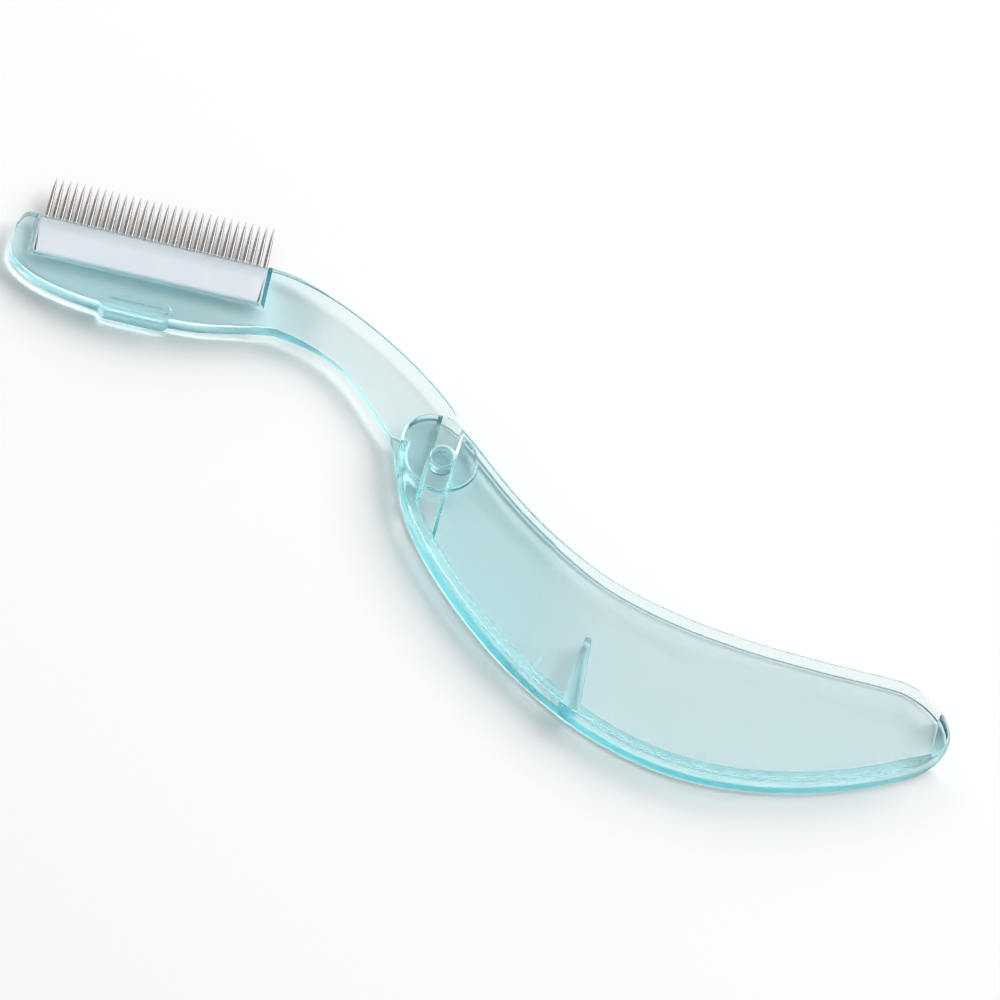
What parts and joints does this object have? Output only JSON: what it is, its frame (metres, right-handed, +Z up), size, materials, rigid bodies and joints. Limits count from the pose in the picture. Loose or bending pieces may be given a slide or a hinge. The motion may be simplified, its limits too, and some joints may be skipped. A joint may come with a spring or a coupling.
{
  "type": "folding eyelash comb",
  "caption": "Clear plastic folding eyelash comb: a row of fine steel needles on a flat arm that swings into a curved slotted handle.",
  "frame": {"origin": "under the middle of the open comb's box, on the surface that it lies on", "axes": "+X along the needle row, from the comb head towards the handle's tip; +Y the way the needles point; +Z up, square to the flat sides"},
  "size_m": [0.139, 0.0728, 0.0036],
  "materials": {
    "clear_aqua_plastic": "clear, glossy, faint aqua tint",
    "white_plastic": "satin white",
    "needle_steel": "drawn stainless steel"
  },
  "bodies": {
    "handle": {"handle_case": "clear_aqua_plastic"},
    "comb": {"comb_arm": "clear_aqua_plastic", "needle_bar": "white_plastic", "needle_01": "needle_steel", "needle_02": "needle_steel", "needle_03": "needle_steel", "needle_04": "needle_steel", "needle_05": "needle_steel", "needle_06": "needle_steel", "needle_07": "needle_steel", "needle_08": "needle_steel", "needle_09": "needle_steel", "needle_10": "needle_steel", "needle_11": "needle_steel", "needle_12": "needle_steel", "needle_13": "needle_steel", "needle_14": "needle_steel", "needle_15": "needle_steel", "needle_16": "needle_steel", "needle_17": "needle_steel", "needle_18": "needle_steel", "needle_19": "needle_steel", "needle_20": "needle_steel", "needle_21": "needle_steel", "needle_22": "needle_steel", "needle_23": "needle_steel", "needle_24": "needle_steel", "needle_25": "needle_steel", "needle_26": "needle_steel", "needle_27": "needle_steel", "needle_28": "needle_steel", "needle_29": "needle_steel", "needle_30": "needle_steel", "needle_31": "needle_steel", "needle_32": "needle_steel"}
  },
  "joints": [
    {"name": "fold", "type": "hinge", "parent": "handle", "child": "comb", "pos_m": [-0.00509, 0.00395, 0.0018], "axis": [0, 0, 1], "range_deg": [-178, 0]}
  ]
}
